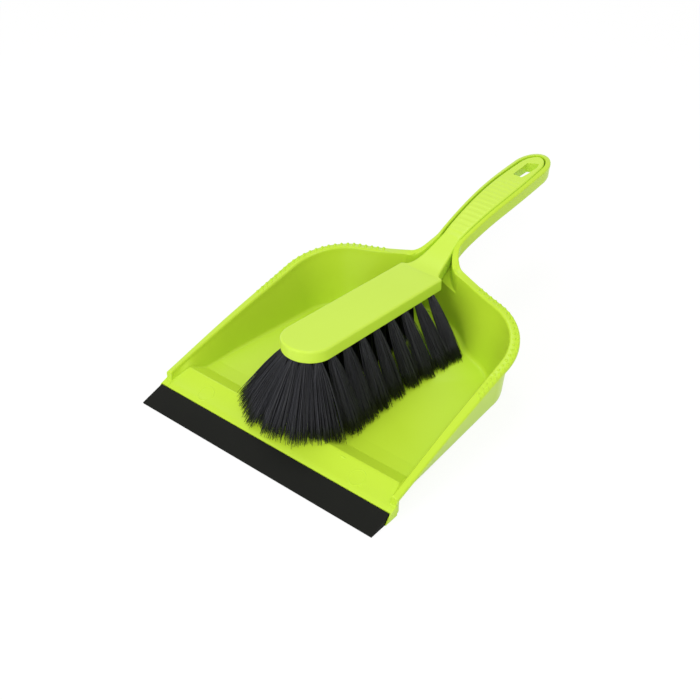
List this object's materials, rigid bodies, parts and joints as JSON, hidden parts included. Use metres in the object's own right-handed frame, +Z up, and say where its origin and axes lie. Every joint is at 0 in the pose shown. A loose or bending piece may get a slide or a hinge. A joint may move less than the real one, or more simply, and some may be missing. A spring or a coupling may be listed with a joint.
{
  "type": "dust pan and brush set",
  "caption": "Hand dust pan with a rubber lip and a bristle hand brush lying in it, the brush's ribbed handle nested in the pan's hollow handle.",
  "frame": {"origin": "on the floor under the middle of the bounding box", "axes": "+Z up, +Y from the rubber lip to the end of the handles, X = 0 the plane of symmetry"},
  "size_m": [0.2062, 0.347, 0.0865],
  "materials": {
    "pan_plastic": "moulded, low gloss, lime green",
    "brush_plastic": "moulded, low gloss, lime green",
    "lip_rubber": "matt black",
    "bristle": "drawn filament, charcoal",
    "anchor_wire": "bright flat wire"
  },
  "bodies": {
    "pan": {"pan": "pan_plastic", "rubber_lip": "lip_rubber"},
    "brush": {"brush_body": "brush_plastic", "tuft_01": "bristle", "tuft_02": "bristle", "tuft_03": "bristle", "tuft_04": "bristle", "tuft_05": "bristle", "tuft_06": "bristle", "tuft_07": "bristle", "tuft_08": "bristle", "tuft_09": "bristle", "tuft_10": "bristle", "tuft_11": "bristle", "tuft_12": "bristle", "tuft_13": "bristle", "tuft_14": "bristle", "tuft_15": "bristle", "tuft_16": "bristle", "tuft_17": "bristle", "tuft_18": "bristle", "tuft_19": "bristle", "tuft_20": "bristle", "tuft_21": "bristle", "tuft_22": "bristle", "tuft_23": "bristle", "tuft_24": "bristle", "tuft_25": "bristle", "tuft_26": "bristle", "tuft_27": "bristle", "tuft_28": "bristle", "tuft_anchor_01": "anchor_wire", "tuft_anchor_02": "anchor_wire", "tuft_anchor_03": "anchor_wire", "tuft_anchor_04": "anchor_wire", "tuft_anchor_05": "anchor_wire", "tuft_anchor_06": "anchor_wire", "tuft_anchor_07": "anchor_wire", "tuft_anchor_08": "anchor_wire", "tuft_anchor_09": "anchor_wire", "tuft_anchor_10": "anchor_wire", "tuft_anchor_11": "anchor_wire", "tuft_anchor_12": "anchor_wire", "tuft_anchor_13": "anchor_wire", "tuft_anchor_14": "anchor_wire", "tuft_anchor_15": "anchor_wire", "tuft_anchor_16": "anchor_wire", "tuft_anchor_17": "anchor_wire", "tuft_anchor_18": "anchor_wire", "tuft_anchor_19": "anchor_wire", "tuft_anchor_20": "anchor_wire", "tuft_anchor_21": "anchor_wire", "tuft_anchor_22": "anchor_wire", "tuft_anchor_23": "anchor_wire", "tuft_anchor_24": "anchor_wire", "tuft_anchor_25": "anchor_wire", "tuft_anchor_26": "anchor_wire", "tuft_anchor_27": "anchor_wire", "tuft_anchor_28": "anchor_wire"}
  },
  "joints": [
    {"name": "brush_lift", "type": "slide", "parent": "pan", "child": "brush", "axis": [0, 0, 1], "range_m": [0, 0.12]}
  ]
}
